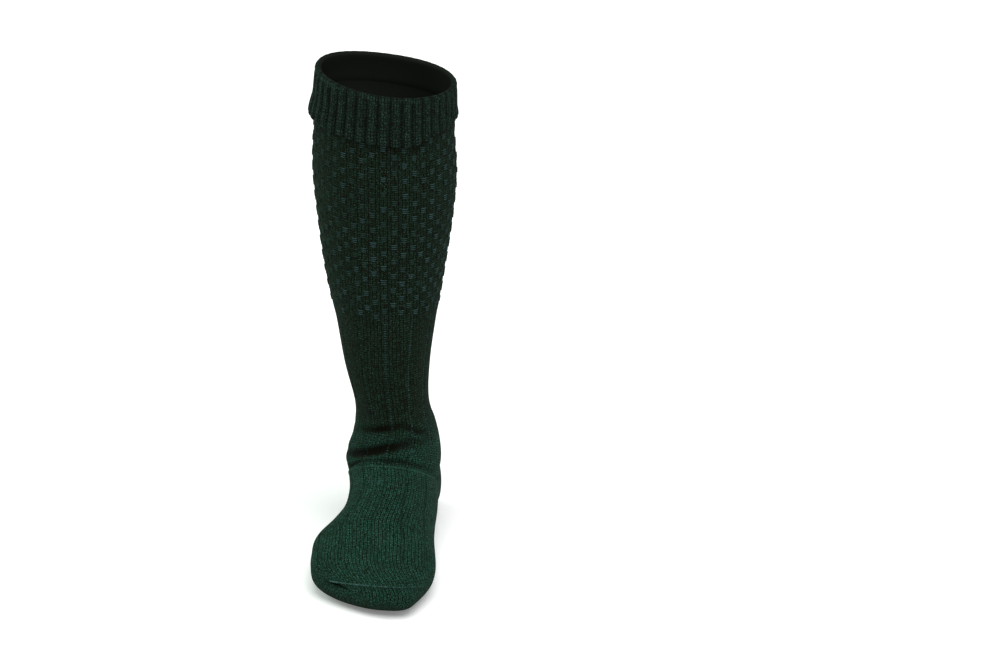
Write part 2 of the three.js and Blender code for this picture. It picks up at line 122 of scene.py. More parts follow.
# The leg. One tube of dark green wool knitted in the round, shaped to the calf
# and the ankle by dropping stitches. Worn, it bunches in folds over the instep.
CALF_WIDTH = 0.118
CALF_DEPTH = 0.124
ANKLE_HEIGHT = 0.119
ANKLE_WIDTH = 0.062
ANKLE_DEPTH = 0.079
ANKLE_SET = 0.004
INSTEP_HEIGHT = 0.080
CORNER_HEIGHT = 0.048
HEEL_HEIGHT = 0.056
HEEL_REACH = 0.071
TOE_OUT = math.radians(8.5)
RIM_LEAN = math.radians(8)
RIM_SIDE_RISE = 0.003
KNIT = 0.0022
CUFF_STAND = 0.018
CUFF_DROP = 0.037
CUFF_RISE = 0.012
CUFF_SHADE = 0.0038
STITCHES = 132
ROW = 0.00217
STITCH = 0.0031
PER_STITCH = 3
SHARP_EDGE = math.radians(50)
WELD = 1e-6
LEG_POWER = 2.1
HEEL_POWER = 2.8

# Rows down the leg, in shares from the ankle's sizes to the calf's: height, outer,
# inner, front, back. Then the rim's tilt and the steps to the next row.
LEG = [
    (1.0, 0.79, 0.94, 0.79, 0.66, 1.0, 8),
    (0.86, 0.9, 0.96, 0.93, 0.85, 0.8, 8),
    (0.72, 0.96, 1.04, 0.98, 1.0, 0.5, 8),
    (0.573, 0.85, 0.87, 0.83, 0.93, 0.2, 8),
    (0.427, 0.69, 0.6, 0.6, 0.7, 0.0, 10),
    (0.276, 0.45, 0.3, 0.37, 0.4, 0.0, 14),
    (0.13, 0.25, 0.05, 0.17, 0.15, 0.0, 18),
    (0.0, 0.0, 0.0, 0.0, 0.0, 0.0, 22),
]

# How the calf's and the ankle's width and depth are split: outer, inner, front, back.
CALF_SPLIT = (0.52, 0.48, 0.46, 0.54)
ANKLE_SPLIT = (0.45, 0.55, 0.53, 0.47)

# Rows down the ankle, in shares of its sizes: drop, outer, inner, front, back, swing, steps.
ANKLE = [
    (0.36, 0.47, 0.66, 0.56, 0.485, 0.3, 22),
    (0.7, 0.57, 0.71, 0.6, 0.52, 0.7, 22),
]
CREASE = {"outer": 0.53, "inner": 0.66, "front": 0.65, "side": 0.02, "power": 2.1}

# The heel pocket's middle line: fore, up
HEEL = [(0.7, 1.0), (0.86, 0.78), (0.97, 0.5), (1.0, 0.28), (0.94, 0.08), (0.78, -0.03), (0.52, -0.03)]

# Each bunched fold's valley. Its level at the shin, the little-toe side and the
# big-toe side is a share of the ankle's height: shin, outer, inner. Its depth is a
# share of the fold depth, greatest at the place called middle, from -1 on the
# little-toe side to 1 on the other, and dying out over the spread. Heel is the
# depth round the back and half the half width as a share of the fold width.
FOLD_DEPTH = 0.0036
FOLD_HALF_WIDTH = 0.006
FOLDS = [
    (0.925, 0.834, 0.902, 0.9, -0.3, 0.62, 0.15, 0.55),
    (0.966, 1.11, 0.82, 0.85, 0.58, 0.28, 0.0, 0.5),
    (0.785, 0.636, 0.79, 1.4, -0.35, 0.8, 0.2, 0.78),
]
FOLD_PUFF = 0.45
FOLD_ROLL = 1.6
FOLD_SAG = 0.7
FOLD_SIDES = 0.25
FOLD_SHADE = 1.15
FOLD_SHADE_SIDES = 0.8

# The fold along the join to the foot: a row's length at the front and at the sides, how far
# the fold lies from the edge, its half width, and its depth as a share of the fold depth,
# deeper by outer on the little-toe side.
HEM_FOLD = {"front_row": 0.0117, "side_row": 0.021, "back": 0.0038, "half": 0.002,
            "depth": 0.75, "outer": 0.4}
WIDE_RIBS = 12
PURL_DEPTH = 0.0008
PURL_HALF = 0.45
TEXTURE_END = 4.72
PANEL_STAND = 0.0004

COLUMNS = ["top_fore", "top_up", "side_fore", "side_up", "sole_fore", "sole_up",
           "outer", "inner", "swing", "tilt", "power_front", "power_back", "steps"]


def mix(a, b, share):
    return a + (b - a) * share


def leg_row(height, outer, inner, front, back, tilt, steps):
    up = ANKLE_HEIGHT + height * (LEG_HEIGHT - ANKLE_HEIGHT)
    calf = (CALF_WIDTH, CALF_WIDTH, CALF_DEPTH, CALF_DEPTH)
    ankle = (ANKLE_WIDTH, ANKLE_WIDTH, ANKLE_DEPTH, ANKLE_DEPTH)
    sides = zip(ANKLE_SPLIT, ankle, CALF_SPLIT, calf, (outer, inner, front, back))
    outer, inner, front, back = (mix(a * ankle_size, b * calf_size, share)
                                 for a, ankle_size, b, calf_size, share in sides)
    return front, up, 0, up, -back, up, outer, inner, 0, tilt, LEG_POWER, LEG_POWER, steps


def ankle_row(drop, outer, inner, front, back, swing, steps):
    return (front * ANKLE_DEPTH, mix(ANKLE_HEIGHT, INSTEP_HEIGHT, drop),
            drop * CREASE["side"] * ANKLE_DEPTH, mix(ANKLE_HEIGHT, CORNER_HEIGHT, drop),
            -back * ANKLE_DEPTH, mix(ANKLE_HEIGHT, HEEL_HEIGHT, drop),
            outer * ANKLE_WIDTH, inner * ANKLE_WIDTH, swing, 0, LEG_POWER, LEG_POWER, steps)


def crease_row(fore, up):
    """The row where leg, heel and foot meet, with its sole point on the heel's middle line."""
    return (CREASE["front"] * ANKLE_DEPTH, INSTEP_HEIGHT, CREASE["side"] * ANKLE_DEPTH, CORNER_HEIGHT,
            -fore * HEEL_REACH, up * HEEL_HEIGHT, CREASE["outer"] * ANKLE_WIDTH,
            CREASE["inner"] * ANKLE_WIDTH, 1, 0, CREASE["power"], HEEL_POWER, 0)


def table(rows):
    return {name: np.array([row[i] for row in rows], float) for i, name in enumerate(COLUMNS)}


leg_rows = table([*(leg_row(*r) for r in LEG), *(ankle_row(*r) for r in ANKLE), crease_row(*HEEL[0])])


def through(values, t):
    """A smooth curve through one column of a table, at place t counted in rows."""
    last = len(values) - 1
    i = np.clip(np.floor(t), 0, last - 1).astype(int)
    f = t - i
    b, c = values[i], values[i + 1]
    a = np.where(i > 0, values[np.maximum(i - 1, 0)], 2 * b - c)
    d = np.where(i + 2 <= last, values[np.minimum(i + 2, last)], 2 * c - b)
    bend = (2 * a - 5 * b + 4 * c - d) * f + (3 * (b - c) + d - a) * f * f
    return b + 0.5 * f * (c - a + bend)


def section(rows, t, turn):
    """How far forward, up and across a point of the smooth surface is, before the foot turns out."""
    cos, sin = np.cos(2 * np.pi * turn), np.sin(2 * np.pi * turn)
    at = {name: through(rows[name], t) for name in COLUMNS}
    front = cos >= 0
    power = 2 / np.where(front, at["power_front"], at["power_back"])
    along = np.abs(cos) ** power
    across = np.sign(sin) * np.abs(sin) ** power
    fore = mix(at["side_fore"], np.where(front, at["top_fore"], at["sole_fore"]), along)
    up = mix(at["side_up"], np.where(front, at["top_up"], at["sole_up"]), along)
    x = (at["inner"] - at["outer"]) / 2 + across * (at["inner"] + at["outer"]) / 2
    return fore, up, x, at


def surface(rows, t, turn):
    """Points of the smooth surface. Turn 0 is the shin, 0.25 the big-toe side, 0.5 the back."""
    t, turn = np.broadcast_arrays(np.asarray(t, float), np.asarray(turn, float))
    fore, up, x, at = section(rows, t, turn)
    swing = at["swing"] * TOE_OUT
    from_axis = x - ANKLE_SET
    tilt = at["tilt"] * (RIM_SIDE_RISE * (2 * x / CALF_WIDTH) ** 2 - x * math.tan(RIM_LEAN))
    return np.stack([
        ANKLE_SET + from_axis * np.cos(swing) - fore * np.sin(swing),
        -(from_axis * np.sin(swing) + fore * np.cos(swing)),
        up + tilt - LEG_HEIGHT,
    ], -1)


def unit(vectors):
    return vectors / np.maximum(np.linalg.norm(vectors, axis=-1, keepdims=True), 1e-12)


def surface_normal(rows, t, turn):
    dt, du = 0.02, 0.004
    here = np.clip(t, dt, len(rows["tilt"]) - 1 - dt)
    along = surface(rows, here + dt, turn) - surface(rows, here - dt, turn)
    across = surface(rows, here, turn + du) - surface(rows, here, turn - du)
    return unit(np.cross(along, across))


def smoothstep(x, low, high):
    share = np.clip((x - low) / (high - low), 0, 1)
    return share * share * (3 - 2 * share)


def place_after(rows, t, turn, distance):
    """The place that lies a distance further along the surface, or further back if negative."""
    start = surface(rows, t, turn)
    place = t + np.sign(distance) * 0.01
    for _ in range(4):
        gone = np.linalg.norm(surface(rows, place, turn) - start, axis=-1)
        place = t + (place - t) * np.abs(distance) / gone
    return place


def leg_places():
    """Places down the leg, closer together where it bunches, as its table's steps say."""
    steps = leg_rows["steps"].astype(int)
    last = len(steps) - 1
    return np.array([*(i + k / steps[i] for i in range(last) for k in range(steps[i])), last])


def fold_relief(t, turn, sides=FOLD_SIDES):
    """How far the bunched folds stand in or out, and at the sides only a share of it."""
    up = surface(leg_rows, t, turn)[..., 2] + LEG_HEIGHT
    aside, forward = np.sin(2 * np.pi * turn), np.cos(2 * np.pi * turn)
    backward = np.maximum(0, -forward) ** 0.5
    row_length = mix(HEM_FOLD["front_row"], HEM_FOLD["side_row"], aside ** 2)
    from_edge = (len(leg_rows["tilt"]) - 1 - t) * row_length
    hem = (from_edge - HEM_FOLD["back"]) / HEM_FOLD["half"]
    hem_depth = (HEM_FOLD["depth"] - HEM_FOLD["outer"] * aside) * FOLD_DEPTH
    relief = -hem_depth * np.exp(-hem * hem) * smoothstep(forward, 0.05, 0.5)
    for shin, outer, inner, deep, middle, spread, heel, half in FOLDS:
        slope, bow = (inner - outer) / 2, (inner + outer) / 2 - shin
        level = (shin + slope * aside + bow * aside ** 2) * ANKLE_HEIGHT
        front_depth = deep * np.exp(-((aside - middle) / spread) ** 2)
        depth = mix(front_depth, heel, backward) * FOLD_DEPTH
        off = (up - level) / (half * FOLD_HALF_WIDTH)
        rolls = FOLD_PUFF * np.exp(-2 * (np.abs(off) - FOLD_ROLL) ** 2)
        relief = relief + depth * (rolls - np.exp(-off * off))
    return relief * mix(1, sides, smoothstep(np.abs(aside), 0.72, 1.0))


def purl_relief(turn):
    """The sunk purl lines between the wide ribs."""
    phase = (turn * WIDE_RIBS) % 1
    from_line = np.minimum(phase, 1 - phase) * STITCHES / WIDE_RIBS
    return -PURL_DEPTH * np.exp(-((from_line / PURL_HALF) ** 2) / 2)


def leg_relief(t, turn):
    ribbed = smoothstep(t, TEXTURE_END, TEXTURE_END + 0.3)
    return PANEL_STAND * (1 - ribbed) + ribbed * purl_relief(turn) + fold_relief(t, turn)


def wall_points(rows, t, turn, relief, depth):
    """Points at a depth under the outer face. None goes below the surface stood on."""
    points = surface(rows, t, turn)
    stand = relief(t, turn)
    points = points + surface_normal(rows, t, turn) * (stand - depth)[..., None]
    points[..., 2] -= np.maximum(stand, 0) * (FOLD_SAG if relief is leg_relief else 0)
    points[..., 2] = np.maximum(points[..., 2], depth - LEG_HEIGHT)
    return points


def rows_down(points):
    """The place of each row along a grid of points, counted in knitted rows."""
    lengths = np.linalg.norm(np.diff(points, axis=0), axis=-1).mean(1)
    return np.concatenate([[0], np.cumsum(lengths)]) / ROW


def stitches_across(points, ring):
    """The places of each column's two sides in each row of a grid of points, in stitches
    counted both ways from the front, or from the middle of a piece that isn't a ring."""
    closed = np.concatenate([points, points[:, :1]], axis=1) if ring else points
    widths = np.linalg.norm(np.diff(closed, axis=1), axis=-1) / STITCH
    right = np.cumsum(widths, axis=1)
    left = right - widths
    middle = widths.shape[1] // 2
    if ring:
        back = np.where(np.arange(widths.shape[1]) >= middle, right[:, -1:], 0)
    else:
        back = right[:, middle - 1:middle]
    return left - back, right - back


def store(mesh, name, values, kind="FLOAT", domain="POINT"):
    """Keeps a value for each point or face of a mesh, for its finish or its tree to read."""
    flat = np.ravel(values).astype(bool if kind == "BOOLEAN" else np.float32)
    field = "vector" if kind == "FLOAT_VECTOR" else "value"
    mesh.attributes.new(name, kind, domain).data.foreach_set(field, flat)


def store_stitches(mesh, u, v):
    """The UV map that the wool's stitches follow, from the places of the faces' corners."""
    layer = mesh.uv_layers.new(name="stitches")
    layer.data.foreach_set("uv", np.stack([u, v], -1).reshape(-1).astype(np.float32))


def knitted_wall(name, wool, outer, inner, ring=True, deep=None):
    """A closed wall between two grids of points with the same columns: wool outside, the
    dark inside finish, which is painted shade, within and on the edges. Its UV map counts
    stitches across and rows along. Stitches are dropped down the back of a tube, where the
    count starts anew. Deep holds painted light on each outer point: painted shade above 0,
    a painted highlight below 0."""
    columns = outer.shape[1]
    spans = columns if ring else columns - 1
    points = np.concatenate([outer.reshape(-1, 3), inner.reshape(-1, 3)])
    inner_first = outer.shape[0] * columns
    j = np.arange(spans)
    k = (j + 1) % columns
    quads, loops_u, loops_v = [], [], []
    left, right = stitches_across(outer, ring)

    def band(i, first, flip, down):
        low, high = first + i * columns, first + (i + 1) * columns
        quad = np.stack([low + j, high + j, high + k, low + k], 1)
        here, after = min(i, len(left) - 1), min(i + 1, len(left) - 1)
        u = np.stack([left[here], left[after], right[after], right[here]], 1)
        v = np.broadcast_to([down[i], down[i + 1], down[i + 1], down[i]], (spans, 4))
        if flip:
            quad, u, v = quad[:, ::-1], u[:, ::-1], v[:, ::-1]
        quads.append(quad)
        loops_u.append(u)
        loops_v.append(v)

    outer_down, inner_down = rows_down(outer), rows_down(inner)
    for i in range(outer.shape[0] - 1):
        band(i, 0, False, outer_down)
    outer_faces = len(quads) * spans
    for i in range(inner.shape[0] - 1):
        band(i, inner_first, True, inner_down)
    ends = [(inner_first, 0, 0), (inner_first - columns, len(points) - columns, outer_down[-1])]
    for a, b, down in ends:
        quads.append(np.stack([a + j, b + j, b + k, a + k], 1))
        end = 0 if down == 0 else -1
        loops_u.append(np.stack([left[end], left[end], right[end], right[end]], 1))
        loops_v.append(np.broadcast_to(float(down), (spans, 4)))
    if not ring:
        for column, first, second in ((0, 0, inner_first), (columns - 1, inner_first, 0)):
            n = outer.shape[0] - 1
            i = np.arange(n)
            a, b = first + i * columns + column, second + i * columns + column
            quads.append(np.stack([a, b, b + columns, a + columns], 1))
            loops_u.append(np.zeros((n, 4)))
            loops_v.append(np.zeros((n, 4)))
    mesh = bpy.data.meshes.new(name)
    mesh.from_pydata(points.tolist(), [], np.concatenate(quads).tolist())
    store_stitches(mesh, np.concatenate(loops_u), np.concatenate(loops_v))
    if deep is not None:
        # Deep holds painted light: painted shade above 0, a painted highlight below 0.
        store(mesh, "deep", np.concatenate([deep.ravel(), np.zeros(inner.size // 3)]))
    inside = np.zeros(len(mesh.polygons), dtype=np.int32)
    inside[outer_faces:] = 1
    mesh.polygons.foreach_set("material_index", inside)
    for material in (wool, shaded_inside_knit):
        mesh.materials.append(material)
    welded = bmesh.new()
    welded.from_mesh(mesh)
    bmesh.ops.remove_doubles(welded, verts=welded.verts, dist=WELD)
    welded.to_mesh(mesh)
    welded.free()
    mesh.shade_smooth()
    mesh.set_sharp_from_angle(angle=SHARP_EDGE)
    return new_object(name, mesh)


class Value:
    """A node socket that is used in an expression. Each operator adds its Math node."""

    def __init__(self, finish, socket):
        self.finish, self.socket = finish, socket

    def maths(self, operation, *others):
        sockets = dict(enumerate((self, *others)))
        return self.finish.node("ShaderNodeMath", {"operation": operation}, sockets)

    def __add__(self, other):
        return self.maths("ADD", other)

    def __sub__(self, other):
        return self.maths("SUBTRACT", other)

    def __rsub__(self, other):
        return self.finish.node("ShaderNodeMath", {"operation": "SUBTRACT"}, {0: other, 1: self})

    def __mul__(self, other):
        return self.maths("MULTIPLY", other)

    def __truediv__(self, other):
        return self.maths("DIVIDE", other)

    def __pow__(self, other):
        return self.maths("POWER", other)

    def __abs__(self):
        return self.maths("ABSOLUTE")

    def fract(self):
        return self.maths("FRACT")

    def clamped(self):
        return self.finish.node("ShaderNodeClamp", {}, {"Value": self})

    __radd__, __rmul__ = __add__, __mul__


class Finish:
    """A procedural material. node() adds any node and gives back its first output."""

    def __init__(self, name):
        self.material = bpy.data.materials.new(name)
        self.material.use_nodes = True
        self.tree = self.material.node_tree
        self.shader = self.tree.nodes["Principled BSDF"]

    def node(self, kind, settings, sockets, output=0):
        made = self.tree.nodes.new(kind)
        for name, setting in settings.items():
            if name == "stops":
                ramp = made.color_ramp.elements
                while len(ramp) < len(setting):
                    ramp.new(0.5)
                for element, (place, colour) in zip(ramp, setting):
                    element.position, element.color = place, (*colour, 1)
            else:
                setattr(made, name, setting)
        for key, value in sockets.items():
            self.join(value, made.inputs[key])
        return Value(self, made.outputs[output])

    def join(self, value, socket):
        if isinstance(value, Value):
            self.tree.links.new(value.socket, socket)
        else:
            socket.default_value = value

    def blend(self, share, a, b):
        """Two colours mixed by a share. Sockets are given by their place in the Mix node."""
        a, b = ((*c, 1) if isinstance(c, tuple) else c for c in (a, b))
        return self.node("ShaderNodeMix", {"data_type": "RGBA"}, {0: share, 6: a, 7: b}, output=2)

    def noise(self, scale, detail, roughness):
        point = self.node("ShaderNodeTexCoord", {}, {}, output="Object")
        return self.node("ShaderNodeTexNoise", {}, {
            "Vector": point, "Scale": scale, "Detail": detail, "Roughness": roughness}, output="Fac")

    def place(self, axis):
        """How far along the object's X, which is 0, or Z, which is 2, a point lies."""
        point = self.node("ShaderNodeTexCoord", {}, {}, output="Object")
        return self.node("ShaderNodeSeparateXYZ", {}, {0: point}, output=axis)

    def attribute(self, name):
        return self.node("ShaderNodeAttribute", {"attribute_name": name}, {}, output="Fac")

    def shade(self, **sockets):
        """Fills the shader's sockets, whose names are given in small letters."""
        for name, value in sockets.items():
            title = name.replace("_", " ").title().replace("Ior", "IOR")
            self.join(value, self.shader.inputs[title])
        return self.material


# The wool is heathered: dark bottle green spun with brown, moss and teal fibres, so
# that one stitch differs from the next. Tones run from the rarest dark to the palest.
# The dark of the wool's fibre flecks, also used as painted shade between the stitches.
FLECK_AND_SHADE_COLOUR = (0.0022, 0.0026, 0.0016)
# Painted shade for the folds, under the cuff's edge and on the toe, then a painted highlight for the
# foot's top edge.
PAINTED_SHADE_COLOUR = (0.0050, 0.0034, 0.0018)
PAINTED_HIGHLIGHT_COLOUR = (0.030, 0.090, 0.060)
LEG_TONES = [
    (0.0, (0.009, 0.005, 0.003)), (0.2, (0.004, 0.009, 0.003)), (0.38, (0.009, 0.020, 0.006)),
    (0.52, (0.011, 0.014, 0.009)), (0.68, (0.006, 0.030, 0.014)), (0.84, (0.008, 0.040, 0.028)),
    (1.0, (0.030, 0.066, 0.048)),
]
# The foot's tones are greener and much brighter than the leg's, for the same wool: the brightness is
# partly painted light where the foot faces up.
FOOT_TONES_WITH_PAINTED_LIGHT = [
    (0.0, (0.008, 0.009, 0.004)), (0.2, (0.006, 0.028, 0.013)), (0.38, (0.012, 0.056, 0.026)),
    (0.52, (0.019, 0.043, 0.030)), (0.68, (0.010, 0.082, 0.046)), (0.84, (0.018, 0.095, 0.078)),
    (1.0, (0.050, 0.146, 0.112)),
]
# The inside is painted shade: a much darker copy of the same wool, darkest at the rim, where more light
# falls in, and paler lower down.
SHADED_INSIDE_RIM = (0.0135, 0.0155, 0.0125)
SHADED_INSIDE_LOW = (0.030, 0.0345, 0.028)
INSIDE_DEPTH = 0.05
INSIDE_FUZZ_SCALE = 900.0
ANKLE_TOP = -0.285
ANKLE_FADE = 0.035
WOOL_SHEEN = (0.35, 0.85, 0.6, 1)
STITCH_DEPTH = 0.0005
STITCH_SLANT = 0.55
STITCH_SPREAD = 1.9
STITCH_MIDDLE = 0.8
STRAND_DEPTH = 0.75
PURL_FROM = 0.32
PURL_EDGE = 6
PURL_LOW = 0.6
FIBRE_SCALE = 1250.0
FIBRE_MOTTLE = 5.2
STITCH_MOTTLE = 0.22
MIDDLE_TONE = 0.38
PATCH_SCALE = 45.0
FUZZ_SCALE = 1500.0
FUZZ_DEPTH = 0.00025


def wool_shader(finish, colour, height):
    bump = finish.node("ShaderNodeBump", {}, {"Height": height, "Strength": 0.9, "Distance": 1.0},
                       output="Normal")
    return finish.shade(base_color=colour, normal=bump, roughness=0.92, specular_ior_level=0.03,
                        sheen_weight=0.012, sheen_roughness=0.25, sheen_tint=WOOL_SHEEN)


def stitch_pattern(finish, rib_stitches):
    """The stitches' height from 0 to 1 and a chance value for each: columns of small Vs on the
    stitch UV map. In a rib, half of each group of columns is purled, in rows of bumps."""
    uv = finish.node("ShaderNodeUVMap", {"uv_map": "stitches"}, {})
    u, v = (finish.node("ShaderNodeSeparateXYZ", {}, {0: uv}, output=i) for i in (0, 1))
    aside = abs(u.fract() - 0.5) * 2
    slant = v - aside * STITCH_SLANT
    across = 1 - (aside * STITCH_SPREAD - STITCH_MIDDLE) ** 2
    strand = 1 - ((slant.fract() - 0.5) * 2) ** 2
    raised = (across.clamped() ** 0.7) * (strand.clamped() ** 0.8 * STRAND_DEPTH + (1 - STRAND_DEPTH))
    if rib_stitches:
        bump = (1 - aside ** 2).clamped() * (1 - ((v.fract() - 0.5) * 2) ** 2).clamped()
        from_ridge = abs((u / rib_stitches + 0.5).fract() - 0.5) * rib_stitches
        purled = ((from_ridge - rib_stitches * PURL_FROM) * PURL_EDGE + 0.5).clamped()
        raised = raised + (bump ** 0.5 * PURL_LOW - raised) * purled
    cell = finish.node("ShaderNodeCombineXYZ", {}, {0: u.maths("FLOOR"), 1: slant.maths("FLOOR")})
    chance = finish.node("ShaderNodeTexWhiteNoise", {"noise_dimensions": "2D"}, {"Vector": cell})
    return raised, chance


def heathered(finish, raised, chance, tones, lower_tones=None):
    """The wool's colour: each stitch its own tone, mottled by fibres, with painted shade between stitches
    and the painted light that deep holds.
    """
    fibre = finish.noise(FIBRE_SCALE, 2.0, 0.6)
    mottled = (chance * STITCH_MOTTLE + (fibre - 0.5) * FIBRE_MOTTLE + MIDDLE_TONE).clamped()
    tone = finish.node("ShaderNodeValToRGB", {"stops": tones}, {0: mottled})
    # Below the ankle the leg fades into the foot's tones, and their painted light, over a height.
    if lower_tones:
        lower = finish.node("ShaderNodeValToRGB", {"stops": lower_tones}, {0: mottled})
        down = (finish.place(2) * -1 + ANKLE_TOP) / ANKLE_FADE
        tone = finish.blend(down.clamped(), tone, lower)
    # Painted shade: darker between the stitches and in the purl grooves, where the stitch pattern is low.
    shadowed = finish.blend((raised ** 1.8 * 1.25).clamped(), FLECK_AND_SHADE_COLOUR, tone)
    patchy = (finish.noise(PATCH_SCALE, 3.0, 0.6) - 0.5) * 0.5 + 0.12
    uneven = finish.blend(patchy.clamped(), shadowed, FLECK_AND_SHADE_COLOUR)
    deep = finish.attribute("deep")
    # Painted highlight where deep is below 0: a pale band along the foot's top edge at the front.
    highlighted = finish.blend((deep * -1).clamped(), uneven, PAINTED_HIGHLIGHT_COLOUR)
    # Painted shade where deep is above 0: in the folds, under the cuff's edge, in the toe's pucker and low
    # over the floor.
    return finish.blend((deep * 0.9).clamped(), highlighted, PAINTED_SHADE_COLOUR)


def knit_finish(name, tones, rib_stitches=0, lower_tones=None):
    finish = Finish(name)
    raised, chance = stitch_pattern(finish, rib_stitches)
    fuzz = finish.noise(FUZZ_SCALE, 3.0, 0.7)
    return wool_shader(finish, heathered(finish, raised, chance, tones, lower_tones),
                       raised * STITCH_DEPTH + fuzz * FUZZ_DEPTH)


def shaded_inside_finish():
    finish = Finish("shaded wool inside")
    # Painted shade: darker at the rim, paler down inside the hollow.
    depth = (finish.place(2) * -1 / INSIDE_DEPTH).clamped()
    plain = finish.blend(depth, SHADED_INSIDE_RIM, SHADED_INSIDE_LOW)
    fuzz = finish.noise(INSIDE_FUZZ_SCALE, 3.0, 0.7)
    return finish.shade(base_color=finish.blend(fuzz * 0.4, plain, FLECK_AND_SHADE_COLOUR), roughness=1.0,
                        specular_ior_level=0.0)


leg_wool = knit_finish("leg wool", LEG_TONES, lower_tones=FOOT_TONES_WITH_PAINTED_LIGHT)
foot_wool = knit_finish("foot wool", FOOT_TONES_WITH_PAINTED_LIGHT)
shaded_inside_knit = shaded_inside_finish()

turns = np.arange(STITCHES * PER_STITCH) / (STITCHES * PER_STITCH)


def cuff_edge(turn):
    """How far down from the opening the cuff's loose edge hangs."""
    return CUFF_DROP - CUFF_RISE * smoothstep(np.sin(2 * np.pi * turn), 0.3, 0.95)


def leg_shadow(t, turn):
    """How hidden from the light the wool lies, in the folds and under the cuff's edge."""
    place, top = surface(leg_rows, t, turn), surface(leg_rows, 0.0, turn)
    folds = np.clip(-fold_relief(t, turn, FOLD_SHADE_SIDES) / FOLD_DEPTH, 0, 1)
    below_edge = top[..., 2] - place[..., 2] - cuff_edge(turn)
    under_cuff = np.exp(-np.maximum(below_edge, 0) / CUFF_SHADE)
    return np.clip(folds * FOLD_SHADE + under_cuff, 0, 1)


def leg_piece():
    start = place_after(leg_rows, np.zeros_like(turns), turns, CUFF_STAND)
    places = leg_places()
    places = np.append(0, places[places > start.max() + 0.1])
    coarse = np.append(places[:-1:3], places[-1])
    outer_t, inner_t = (np.maximum(rows[:, None], start) for rows in (places, coarse))
    outer = wall_points(leg_rows, outer_t, turns, leg_relief, 0.0)
    inner = wall_points(leg_rows, inner_t, turns, leg_relief, KNIT)
    return knitted_wall("leg_knit", leg_wool, outer, inner, deep=leg_shadow(outer_t, turns))


leg = leg_piece()
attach(leg, "root")
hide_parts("leg")

# The calf's blocks. Three short purl bars one over the other, the top one widest, stand
# out of the plain knitting over a dark patch, which is painted shade. Every other column of
# blocks is set half a step lower, so that they run in slanting lines round the calf.
BLOCK_COLUMNS = 44
BLOCK_ROWS = 16
BLOCK_STEP = 6 * ROW
FIRST_BLOCK = 0.0545 - 2 * BLOCK_STEP
BLOCK_END = 4.7
BLOCK_CLEAR = 0.001
BAR_WIDTH = 0.0055
BAR_HEIGHT = 0.0010
BAR_PITCH = 0.0016
BAR_THICK = 0.0012
BAR_SHRINK = 0.07
BAR_BEND = 0.0003
BLOCK_STAND = 0.0002
# The flat dark patch under each block, painted shade: its width, height and depth, then its colour below.
SHADE_PATCH_SIZE = (0.0058, 0.0052, 0.0006)
BESIDE = 0.002
BLOCK_YARN = ((0.019, 0.042, 0.030), (0.046, 0.096, 0.094))
SHADE_PATCH_COLOUR = (0.004, 0.008, 0.005)
YARN_FIBRE_SCALE = 1100.0
YARN_FIBRE_DEPTH = 0.0003


class Tree:
    """A Geometry Nodes tree on an object, built node by node, with named inputs."""

    def __init__(self, name):
        self.group = bpy.data.node_groups.new(name, "GeometryNodeTree")
        self.face = self.group.interface
        for way in ("INPUT", "OUTPUT"):
            self.face.new_socket("Geometry", in_out=way, socket_type="NodeSocketGeometry")
        self.inputs = self.group.nodes.new("NodeGroupInput")
        self.values = {}

    def number(self, name, value, kind="NodeSocketFloat"):
        """A named input of the tree, and its value on this piece."""
        self.face.new_socket(name, in_out="INPUT", socket_type=kind)
        self.values[name] = value
        return self.inputs.outputs[name]

    def node(self, kind, settings, sockets, output=0):
        made = self.group.nodes.new(kind)
        for name, setting in settings.items():
            setattr(made, name, setting)
        for key, value in sockets.items():
            if isinstance(value, bpy.types.NodeSocket):
                self.group.links.new(value, made.inputs[key])
            elif isinstance(value, list):
                for link in value:
                    self.group.links.new(link, made.inputs[key])
            else:
                made.inputs[key].default_value = value
        return made.outputs[output]

    def maths(self, operation, *values):
        return self.node("ShaderNodeMath", {"operation": operation}, dict(enumerate(values)))

    def attribute(self, name, kind="FLOAT"):
        return self.node("GeometryNodeInputNamedAttribute", {"data_type": kind}, {"Name": name},
                         output="Attribute")

    def apply(self, piece, geometry, material, second=None, chosen=None):
        """Ends the tree, runs it on the piece once and leaves the piece a plain mesh. A second
        finish goes on the chosen faces."""
        whole = self.node("GeometryNodeRealizeInstances", {}, {"Geometry": geometry})
        dressed = self.node("GeometryNodeSetMaterial", {}, {
            "Geometry": whole, "Material": self.number("Finish", material, "NodeSocketMaterial")})
        if second:
            dressed = self.node("GeometryNodeSetMaterial", {}, {
                "Geometry": dressed, "Material": second, "Selection": chosen})
        out = self.group.nodes.new("NodeGroupOutput")
        self.group.links.new(dressed, out.inputs[0])
        modifier = piece.modifiers.new("knitting", "NODES")
        modifier.node_group = self.group
        for item in self.face.items_tree:
            if item.item_type == "SOCKET" and item.in_out == "INPUT" and item.name in self.values:
                modifier[item.identifier] = self.values[item.name]
        done = bpy.data.meshes.new_from_object(piece.evaluated_get(bpy.context.evaluated_depsgraph_get()))
        piece.modifiers.clear()
        piece.data = done


def surface_points(name, rows, t, turn, stand, relief, sideways=None):
    """Loose points on the knitting, each with its outward and its sideways direction."""
    normal = surface_normal(rows, t, turn)
    place = surface(rows, t, turn) + normal * (relief(t, turn) + stand)[:, None]
    if sideways is None:
        sideways = unit(surface(rows, t, turn + BESIDE) - surface(rows, t, turn - BESIDE))
    mesh = bpy.data.meshes.new(name)
    mesh.from_pydata(place.tolist(), [], [])
    store(mesh, "outward", normal, "FLOAT_VECTOR")
    store(mesh, "sideways", sideways, "FLOAT_VECTOR")
    return new_object(name, mesh)


